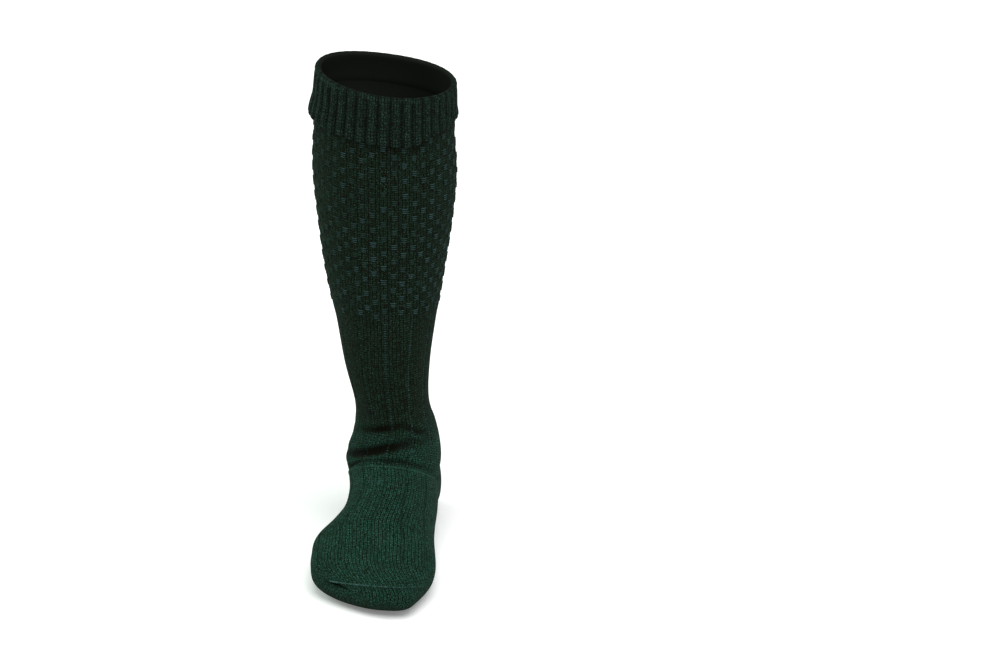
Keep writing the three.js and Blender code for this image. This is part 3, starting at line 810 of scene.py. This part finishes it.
def yarn_bar(tree, width, height, thick, bend, middle=0.0):
    """A rounded bar of yarn along X, thick along Z, its ends bent up and its middle set along Y."""
    ball = tree.node("GeometryNodeMeshUVSphere", {}, {"Segments": 8, "Rings": 6, "Radius": 0.5})
    turned = tree.node("GeometryNodeTransform", {}, {"Geometry": ball, "Rotation": (0, math.pi / 2, 0)})
    size = tree.node("ShaderNodeCombineXYZ", {}, {0: width, 1: height, 2: thick})
    stretched = tree.node("GeometryNodeTransform", {}, {"Geometry": turned, "Scale": size})
    at = tree.node("GeometryNodeInputPosition", {}, {})
    aside = tree.maths("DIVIDE", tree.node("ShaderNodeSeparateXYZ", {}, {0: at}), width)
    lift = tree.maths("MULTIPLY", tree.maths("MULTIPLY", aside, aside), tree.maths("MULTIPLY", bend, 4.0))
    way = tree.node("ShaderNodeCombineXYZ", {}, {1: lift})
    bent = tree.node("GeometryNodeSetPosition", {}, {"Geometry": stretched, "Offset": way})
    place = tree.node("ShaderNodeCombineXYZ", {}, {1: middle})
    return tree.node("GeometryNodeTransform", {}, {"Geometry": bent, "Translation": place})


def set_on_points(tree, shape, seed, vary):
    """The shape on each of the piece's points, turned to the surface, its size varied a little."""
    turned = tree.node("FunctionNodeAxesToRotation", {"primary_axis": "Z", "secondary_axis": "X"}, {
        "Primary Axis": tree.attribute("outward", "FLOAT_VECTOR"),
        "Secondary Axis": tree.attribute("sideways", "FLOAT_VECTOR")})
    tint = tree.node("FunctionNodeRandomValue", {}, {"Min": 0.0, "Max": 1.0, "Seed": seed}, output=1)
    tinted = tree.node("GeometryNodeStoreNamedAttribute", {}, {
        "Geometry": tree.inputs.outputs[0], "Name": "tint", "Value": tint})
    least = tree.maths("SUBTRACT", 1.0, vary)
    most = tree.maths("ADD", 1.0, vary)
    size = tree.node("FunctionNodeRandomValue", {}, {"Min": least, "Max": most, "Seed": 7}, output=1)
    return tree.node("GeometryNodeInstanceOnPoints", {}, {
        "Points": tinted, "Instance": shape, "Rotation": turned, "Scale": size})


def calf_blocks():
    column, step = np.meshgrid(np.arange(BLOCK_COLUMNS), np.arange(BLOCK_ROWS), indexing="ij")
    turn = (column / BLOCK_COLUMNS).ravel()
    down = FIRST_BLOCK + BLOCK_STEP * (step + 0.5 * (column % 2)).ravel()
    t = place_after(leg_rows, np.zeros_like(turn), turn, down)
    shown = (t < BLOCK_END) & (down > cuff_edge(turn) + BLOCK_CLEAR)
    blocks = surface_points("calf_blocks", leg_rows, t[shown], turn[shown], BLOCK_STAND, leg_relief)
    tree = Tree("calf blocks")
    width, pitch = tree.number("Width", BAR_WIDTH), tree.number("Pitch", BAR_PITCH)
    height, thick = tree.number("Height", BAR_HEIGHT), tree.number("Thickness", BAR_THICK)
    shrink, bend = tree.number("Shrink", BAR_SHRINK), tree.number("Bend", BAR_BEND)
    seed = tree.number("Seed", 4, "NodeSocketInt")
    vary = tree.number("Vary", 0.06)
    bars = []
    for place in (1, 0, -1):
        narrower = tree.maths("SUBTRACT", 1.0, tree.maths("MULTIPLY", shrink, 1.0 - place))
        bars.append(yarn_bar(tree, tree.maths("MULTIPLY", width, narrower), height, thick, bend,
                             tree.maths("MULTIPLY", pitch, float(place))))
    shade_patch_size = (tree.number("Hollow " + side, size)
                   for side, size in zip(("width", "height", "depth"), SHADE_PATCH_SIZE))
    hollow = tree.node("GeometryNodeStoreNamedAttribute", {}, {
        "Geometry": yarn_bar(tree, *shade_patch_size, 0.0), "Name": "hollow", "Value": 1.0})
    block = tree.node("GeometryNodeJoinGeometry", {}, {"Geometry": [*bars, hollow]})
    tree.apply(blocks, set_on_points(tree, block, seed, vary), raised_yarn)
    return blocks


def raised_finish(name, dull, bright, lean=0.4):
    """Yarn that stands up out of the knitting, each bar between a dull and a bright tone. The
    lean paints light on it: a positive lean makes it brighter towards the big-toe side, a
    negative one towards the little-toe side."""
    finish = Finish(name)
    # Painted light: a random share plus a share that grows towards one side by the lean.
    share = (finish.attribute("tint") * 0.8 + finish.place(0) * (lean / CALF_WIDTH) + 0.1).clamped()
    base = finish.blend(share, dull, bright)
    fibre = finish.noise(YARN_FIBRE_SCALE, 3.0, 0.7)
    flecked = finish.blend(((fibre - 0.3) * 2.5).clamped() * 0.7 + 0.3, FLECK_AND_SHADE_COLOUR, base)
    # Painted shade: the flat patch under each block is near black.
    colour = finish.blend(finish.attribute("hollow"), flecked, SHADE_PATCH_COLOUR)
    return wool_shader(finish, colour, fibre * YARN_FIBRE_DEPTH)


# The blocks get painted light, brighter towards the big-toe side.
raised_yarn = raised_finish("raised yarn", *BLOCK_YARN)
blocks = calf_blocks()
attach(blocks, "root")

# The purl lines. Between the wide ribs one stitch is turned back to front all the
# way down the shin, which leaves a groove with a ladder of small bumps in it.
PURL_SIZE = (0.0019, 0.0013, 0.0011)
PURL_BEND = 0.0002
PURL_STAND = 0.0001
PURL_YARN = ((0.008, 0.021, 0.016), (0.038, 0.084, 0.078))


def lay_bars(points, name, size, bend, seed, vary, yarn):
    """Lays one bar of yarn, of a width, height and thickness, on each of a piece's points."""
    tree = Tree(name)
    sides = [tree.number(side, value) for side, value in zip(("Width", "Height", "Thickness"), size)]
    bar = yarn_bar(tree, *sides, tree.number("Bend", bend))
    seed_input, vary_input = tree.number("Seed", seed, "NodeSocketInt"), tree.number("Vary", vary)
    tree.apply(points, set_on_points(tree, bar, seed_input, vary_input), yarn)


def purl_bumps(name, t, turn, rows, relief, slot_name, yarn):
    bumps = surface_points(name, rows, t, turn, PURL_STAND, relief)
    lay_bars(bumps, name, PURL_SIZE, PURL_BEND, 11, 0.1, yarn)
    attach(bumps, "root")


def line_places(rows, lines, first, last):
    """Points a knitted row apart along some of the purl lines, between two places of the table."""
    found_t, found_turn = [], []
    for line in lines:
        fine = np.linspace(first, last, 600)
        turn = (line / WIDE_RIBS) % 1.0
        lengths = np.linalg.norm(np.diff(surface(rows, fine, turn), axis=0), axis=-1)
        gone = np.concatenate([[0], np.cumsum(lengths)])
        t = np.interp(np.arange(0, gone[-1], ROW), gone, fine)
        found_t.append(t)
        found_turn.append(np.full_like(t, turn))
    return np.concatenate(found_t), np.concatenate(found_turn)


# Painted light on the shin's purl bumps, brighter towards the big-toe side.
shin_yarn = raised_finish("shin purl yarn", *PURL_YARN, 0.8)
shin_lines = line_places(leg_rows, range(WIDE_RIBS), TEXTURE_END + 0.1, len(LEG) + 1.95)
purl_bumps("shin_purl_lines", *shin_lines, leg_rows, leg_relief, "leg_knit", shin_yarn)

# The heel. A plain pocket of the same wool, turned at the back of the tube where the
# foot starts, and joined to the leg above it and to the foot in front.
HEEL_LINES = 64
HEEL_COLUMNS = 133
heel_rows = table([crease_row(*p) for p in HEEL])


def plain(t, turn):
    """The relief of plain knitting, which has none."""
    return 0 * turn


def heel_piece():
    places = np.linspace(0, len(HEEL) - 1.0, HEEL_LINES)
    back = np.linspace(0.25, 0.75, HEEL_COLUMNS)
    outer, inner = (wall_points(heel_rows, places[:, None], back, plain, depth) for depth in (0.0, KNIT))
    return knitted_wall("heel_knit", foot_wool, outer, inner, ring=False)


heel = heel_piece()
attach(heel, "root")
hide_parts("heel_pocket")

# The foot. The tube goes on in the same wool over the instep, where the wide ribs
# follow it with their purl lines, and plain under the sole.
FOOT_REACH = 0.182
FOOT_WIDTH = 0.103
FOOT_LINES = 121
INNER_STEP = 4
EDGE_ROLL = 0.0006
EDGE_ROLL_HALF = 0.12
# A painted highlight along the foot's top edge: its strength and its half width in rows.
EDGE_HIGHLIGHT = 0.5
EDGE_HIGHLIGHT_HALF = 0.09
INSTEP_YARN = ((0.008, 0.024, 0.015), (0.014, 0.045, 0.034))

# Rows along the foot: top fore and up, side fore and up, sole fore and up, outer, inner, power.
FOOT = [
    (0.346, 0.93, 0.12, 0.5, -0.04, -0.03, 0.325, 0.385, 1.95),
    (0.42, 0.85, 0.245, 0.4, 0.12, -0.03, 0.335, 0.405, 1.85),
    (0.5, 0.77, 0.37, 0.33, 0.29, -0.03, 0.405, 0.437, 1.85),
    (0.585, 0.68, 0.5, 0.28, 0.46, -0.03, 0.495, 0.485, 1.95),
    (0.668, 0.6, 0.62, 0.26, 0.6, -0.03, 0.485, 0.524, 2.1),
    (0.74, 0.535, 0.717, 0.245, 0.705, -0.02, 0.461, 0.534, 2.2),
    (0.805, 0.48, 0.793, 0.235, 0.785, -0.01, 0.417, 0.519, 2.3),
    (0.868, 0.435, 0.859, 0.225, 0.848, 0.0, 0.311, 0.49, 2.3),
    (0.921, 0.39, 0.913, 0.21, 0.9, 0.02, 0.165, 0.461, 2.3),
    (0.964, 0.34, 0.957, 0.195, 0.943, 0.05, 0.019, 0.432, 2.3),
    (0.992, 0.275, 0.986, 0.182, 0.975, 0.1, -0.107, 0.383, 2.3),
    (1.0, 0.18, 1.0, 0.18, 1.0, 0.18, -0.233, 0.233, 2.3),
]
TOE_SEAM = {"sole_fore": 0.68, "corner_fore": 0.79, "corner_up": 0.21, "tip_up": 0.36}


def foot_row(top_fore, top_up, side_fore, side_up, sole_fore, sole_up, outer, inner, power):
    return (top_fore * FOOT_REACH, top_up * INSTEP_HEIGHT, side_fore * FOOT_REACH, side_up * INSTEP_HEIGHT,
            sole_fore * FOOT_REACH, sole_up * INSTEP_HEIGHT, outer * FOOT_WIDTH - ANKLE_SET,
            inner * FOOT_WIDTH + ANKLE_SET, 1, 0, power, HEEL_POWER, 0)


foot_rows = table([crease_row(*HEEL[-1]), *(foot_row(*r) for r in FOOT)])
tip = len(FOOT) - 0.001


def in_toe(t, turn):
    """Whether a point of the foot's surface lies in front of and below the toe seam."""
    seam = TOE_SEAM
    fore, up, _, _ = section(foot_rows, t, turn)
    slope = (seam["tip_up"] - seam["corner_up"]) / (1 - seam["corner_fore"])
    seam_up = (seam["corner_up"] + slope * (fore / FOOT_REACH - seam["corner_fore"])) * INSTEP_HEIGHT
    lean = (seam["corner_fore"] - seam["sole_fore"]) * FOOT_REACH / (seam["corner_up"] * INSTEP_HEIGHT)
    return (seam_up - up > 0) & (fore - seam["sole_fore"] * FOOT_REACH - lean * up > 0)


def seam_places(turn):
    """Where the toe seam crosses each turn, found by halving the stretch that it lies in."""
    low, high = np.full_like(turn, 4.0), np.full_like(turn, tip)
    for _ in range(40):
        middle = (low + high) / 2
        past = in_toe(middle, turn)
        low, high = np.where(past, low, middle), np.where(past, middle, high)
    return (low + high) / 2


seam_at = seam_places(turns)


def foot_relief(t, turn):
    instep = smoothstep(np.cos(2 * np.pi * turn), -0.1, 0.2)
    before_toe = 1 - smoothstep(t, 6, 8)
    edge_roll = EDGE_ROLL * instep * np.exp(-(t / EDGE_ROLL_HALF) ** 2)
    return instep * before_toe * purl_relief(turn) + edge_roll


def foot_piece():
    places = np.linspace(0, 1, FOOT_LINES)[:, None] * seam_at
    outer = wall_points(foot_rows, places, turns, foot_relief, 0.0)
    inner = wall_points(foot_rows, places[::INNER_STEP], turns, foot_relief, KNIT)
    # A painted highlight along the foot's top edge at the front, stored as deep below 0.
    front = smoothstep(np.cos(2 * np.pi * turns), 0.0, 0.3)
    pale = -EDGE_HIGHLIGHT * front * np.exp(-(places / EDGE_HIGHLIGHT_HALF) ** 2)
    return knitted_wall("foot_knit", foot_wool, outer, inner, deep=pale)


foot = foot_piece()
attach(foot, "root")
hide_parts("foot")

instep_lines = line_places(foot_rows, range(-2, 3), 0.1, 7.0)
# Painted light on the instep's purl bumps, brighter towards the big-toe side.
purl_yarn = raised_finish("instep purl yarn", *INSTEP_YARN)
purl_bumps("instep_purl_lines", *instep_lines, foot_rows, foot_relief, "foot_knit", purl_yarn)

# The toe. A plain pocket of the same wool, joined to the foot by the linked seam over
# the toes, and drawn in where that seam ends on the little-toe side.
TOE_LINES = 57
PUCKER = {"turn": 0.785, "half": 0.010, "past": 0.5, "reach": 0.5, "depth": 0.0035}
PUCKER_SHADE = 1.1
UNDER_SHADE = 0.72
UNDER_HEIGHT = 0.022


def pucker(t, turn):
    """From 0 to 1, how near a place is to the gathered spot at the end of the toe seam."""
    past = t - np.interp(turn, turns, seam_at)
    along = np.exp(-((turn - PUCKER["turn"]) / PUCKER["half"]) ** 2)
    return along * np.exp(-((past - PUCKER["past"]) / PUCKER["reach"]) ** 2)


def toe_relief(t, turn):
    return -PUCKER["depth"] * pucker(t, turn)


def toe_shadow(t, turn):
    """How hidden from the light the wool lies, in the pucker and low over the floor."""
    up = surface(foot_rows, t, turn)[..., 2] + LEG_HEIGHT
    under = (1 - smoothstep(up, 0.0, UNDER_HEIGHT)) * UNDER_SHADE
    return np.clip(pucker(t, turn) * PUCKER_SHADE + under, 0, 1)


def toe_piece():
    places = mix(seam_at, tip, np.linspace(0, 1, TOE_LINES)[:, None])
    outer = wall_points(foot_rows, places, turns, toe_relief, 0.0)
    inner = wall_points(foot_rows, places[::INNER_STEP], turns, toe_relief, KNIT)
    for face in (outer, inner):
        face[-1] = face[-1].mean(0)
    return knitted_wall("toe_knit", foot_wool, outer, inner, deep=toe_shadow(places, turns))


toe = toe_piece()
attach(toe, "root")
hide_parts("toe_pocket")

# The toe seam. The toe's open loops are linked to the foot's one by one, in a row
# of slanting stitches that stands up along the join.
LINK_SIZE = (0.0034, 0.0014, 0.0014)
LINK_BEND = 0.0003
LINK_STAND = 0.0003
SEAM_FROM = 0.29
LINK_YARN = ((0.012, 0.04, 0.026), (0.055, 0.13, 0.11))


def toe_seam():
    turn = (np.arange(STITCHES) + 0.5) / STITCHES
    turn = turn[np.abs(turn - 0.5) > SEAM_FROM]
    ahead, behind = (surface(foot_rows, seam_places(beside), beside)
                     for beside in ((turn + BESIDE) % 1.0, (turn - BESIDE) % 1.0))
    links = surface_points("toe_seam", foot_rows, seam_places(turn), turn, LINK_STAND, plain,
                           unit(ahead - behind))
    # Painted light on the seam, brighter towards the little-toe side.
    link_yarn = raised_finish("linked seam yarn", *LINK_YARN, -1.2)
    lay_bars(links, "toe seam", LINK_SIZE, LINK_BEND, 21, 0.08, link_yarn)
    return links


seam = toe_seam()
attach(seam, "root")

# The turnover cuff. A ribbed band, two stitches plain and two purl, that stands on
# the leg's top edge, folds outwards at the opening and hangs down over the calf.
CUFF_KNIT = 0.0023
CUFF_FLARE = 0.0008
CUFF_LIP = 0.0018
CUFF_RIBS = 40
CUFF_RELIEF = 0.0018
CUFF_INSIDE_ROWS = 14
RIB_STITCHES = 4
RIB_COLUMNS = 12
RIB_START = 0.006
RIM_RIB = 0.15
RIB_SHIFT = 0.55
RIB_STEEPNESS = 2.2
RIB_RANGE = {"From Min": -1.4, "From Max": 1.6, "To Min": -0.6, "To Max": 0.4}
LAY = 0.0004
CUFF_LAP = (0.0003, 0.005)
LAP_EDGE = 0.9
ON_RIM = 1e-5
CUFF_TONES = [
    (0.0, (0.011, 0.007, 0.006)), (0.2, (0.005, 0.012, 0.007)), (0.38, (0.009, 0.025, 0.012)),
    (0.52, (0.018, 0.018, 0.019)), (0.68, (0.008, 0.039, 0.024)), (0.84, (0.012, 0.052, 0.040)),
    (1.0, (0.043, 0.086, 0.069)),
]


def cuff_profile():
    """Places round the cuff's section: off the leg's face, down from the opening, flare, rib.
    It starts inside, where the lap's edge tapers into the leg's wall."""
    outside = LAY + CUFF_KNIT
    radius = (outside + KNIT) / 2
    middle = outside - radius
    behind, lap = CUFF_LAP
    line = [(-KNIT * LAP_EDGE, CUFF_STAND + lap, 0, 0)]
    for i in range(1, 8):
        line.append((-KNIT - behind * (1 - i / 8), (CUFF_STAND + lap) * (1 - i / 8), 0, 0))
    for i in range(13):
        angle = math.pi * (1 - i / 12)
        rib = RIM_RIB * (i / 12) ** 2
        line.append((middle + radius * math.cos(angle), -radius * math.sin(angle), 0, rib))
    for i in range(1, 30):
        down = CUFF_DROP * i / 30
        rib = mix(RIM_RIB, 1.0, smoothstep(down, 0, RIB_START))
        line.append((outside, down, smoothstep(i / 30, 0.5, 1.0), rib))
    for i in range(9):
        angle = math.pi * i / 8
        line.append((mix(outside, LAY, (1 - math.cos(angle)) / 2),
                     CUFF_DROP + CUFF_KNIT * 0.5 * math.sin(angle), 1, 1 - i / 8))
    line += [(LAY, CUFF_DROP * (1 - i / 8), smoothstep(1 - i / 8, 0.5, 1.0), 0) for i in range(1, 8)]
    line += [(LAY, 0, 0, 0), (LAY / 2, -LAY / 2, 0, 0), (0, 0, 0, 0)]
    line += [(0, CUFF_STAND * i / 4, 0, 0) for i in range(1, 5)]
    return np.array(line, float)


def cuff_piece():
    around = np.arange(CUFF_RIBS * RIB_COLUMNS) / (CUFF_RIBS * RIB_COLUMNS)
    off, down, flare, rib = (column[:, None] for column in cuff_profile().T)
    sideways = np.sin(2 * np.pi * around)[None, :]
    rise = cuff_edge(around)[None, :] / CUFF_DROP
    risen = mix(down, down * rise, smoothstep(down / CUFF_DROP, 0.3, 1.0))
    hang = np.where(flare > 0, risen, down + 0 * rise)
    turn = np.broadcast_to(around, hang.shape)
    under_rim = place_after(leg_rows, np.zeros_like(hang), turn, np.maximum(hang, ON_RIM))
    t = np.where(hang > ON_RIM, under_rim, 0)
    stand = flare * (CUFF_FLARE + CUFF_LIP * np.maximum(0, -sideways) ** 4)
    normal = surface_normal(leg_rows, t, turn)
    grid = surface(leg_rows, t, turn) + normal * (off + stand)[..., None]
    grid[..., 2] -= np.minimum(down, 0)
    rows, columns = grid.shape[:2]
    i, j = np.arange(rows)[:, None], np.arange(columns)[None, :]
    k, below = (j + 1) % columns, (i + 1) % rows
    quads = np.stack([i * columns + j, below * columns + j, below * columns + k, i * columns + k], -1)
    mesh = bpy.data.meshes.new("cuff_rib")
    mesh.from_pydata(grid.reshape(-1, 3).tolist(), [], quads.reshape(-1, 4).tolist())
    store(mesh, "rib", np.broadcast_to(rib, (rows, columns)))
    store(mesh, "around", turn)
    store(mesh, "inside", np.broadcast_to(i < CUFF_INSIDE_ROWS, (rows, columns)), "BOOLEAN", "FACE")
    length = rows_down(grid)
    length = np.append(length, length[-1] + 1)
    u = np.stack([j, j, j + 1, j + 1], -1) * RIB_STITCHES / RIB_COLUMNS + 0 * i[..., None]
    v = np.stack([length[i], length[i + 1], length[i + 1], length[i]], -1) + 0 * j[..., None]
    store_stitches(mesh, u, v)
    mesh.shade_smooth()
    mesh.set_sharp_from_angle(angle=SHARP_EDGE)
    return new_object("cuff_rib", mesh)


cuff = cuff_piece()
rib_wool = knit_finish("rib wool", CUFF_TONES, rib_stitches=RIB_STITCHES)


def rib_the_cuff():
    """Raises the plain ribs and sinks the purl ones, along the cuff's own normals."""
    tree = Tree("cuff ribs")
    ribs = tree.number("Ribs", CUFF_RIBS)
    relief = tree.number("Relief", CUFF_RELIEF)
    phase = tree.maths("MULTIPLY", tree.attribute("around"), ribs)
    wave = tree.maths("COSINE", tree.maths("MULTIPLY", phase, 2 * math.pi))
    flat_topped = tree.maths("MULTIPLY", tree.maths("ADD", wave, RIB_SHIFT), RIB_STEEPNESS)
    rounded = tree.node("ShaderNodeMapRange", {"interpolation_type": "SMOOTHSTEP"}, {
        "Value": flat_topped, **RIB_RANGE})
    out = tree.maths("MULTIPLY", tree.maths("MULTIPLY", rounded, relief), tree.attribute("rib"))
    way = tree.node("ShaderNodeVectorMath", {"operation": "SCALE"}, {
        0: tree.node("GeometryNodeInputNormal", {}, {}), "Scale": out})
    moved = tree.node("GeometryNodeSetPosition", {}, {"Geometry": tree.inputs.outputs[0], "Offset": way})
    # The rows inside the opening take the shaded inside finish, which is painted shade.
    lined = tree.number("Shaded inside finish", shaded_inside_knit, "NodeSocketMaterial")
    tree.apply(cuff, moved, rib_wool, lined, tree.attribute("inside", "BOOLEAN"))


rib_the_cuff()
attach(cuff, "root")
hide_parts("turnover_cuff")

# The turned edge. Where the cuff folds over at the opening, the loops of each
# stitch open up and show as a row of paler beads.
LOOP_SIZE = (0.0014, 0.0024, 0.0012)
LOOP_BEND = 0.0003
LOOP_DOWN = 0.0004
LOOP_YARN = ((0.006, 0.015, 0.009), (0.028, 0.056, 0.044))


def turned_edge():
    stitches = CUFF_RIBS * RIB_STITCHES
    turn = (np.arange(stitches) + 0.5) / stitches
    t = place_after(leg_rows, np.zeros_like(turn), turn, LOOP_DOWN)
    loops = surface_points("turned_edge", leg_rows, t, turn, LAY + CUFF_KNIT, plain)
    # Painted light on the turned edge's beads, brighter towards the little-toe side.
    loop_yarn = raised_finish("turned edge yarn", *LOOP_YARN, -0.5)
    lay_bars(loops, "turned edge", LOOP_SIZE, LOOP_BEND, 31, 0.3, loop_yarn)
    return loops


loops = turned_edge()
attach(loops, "root")
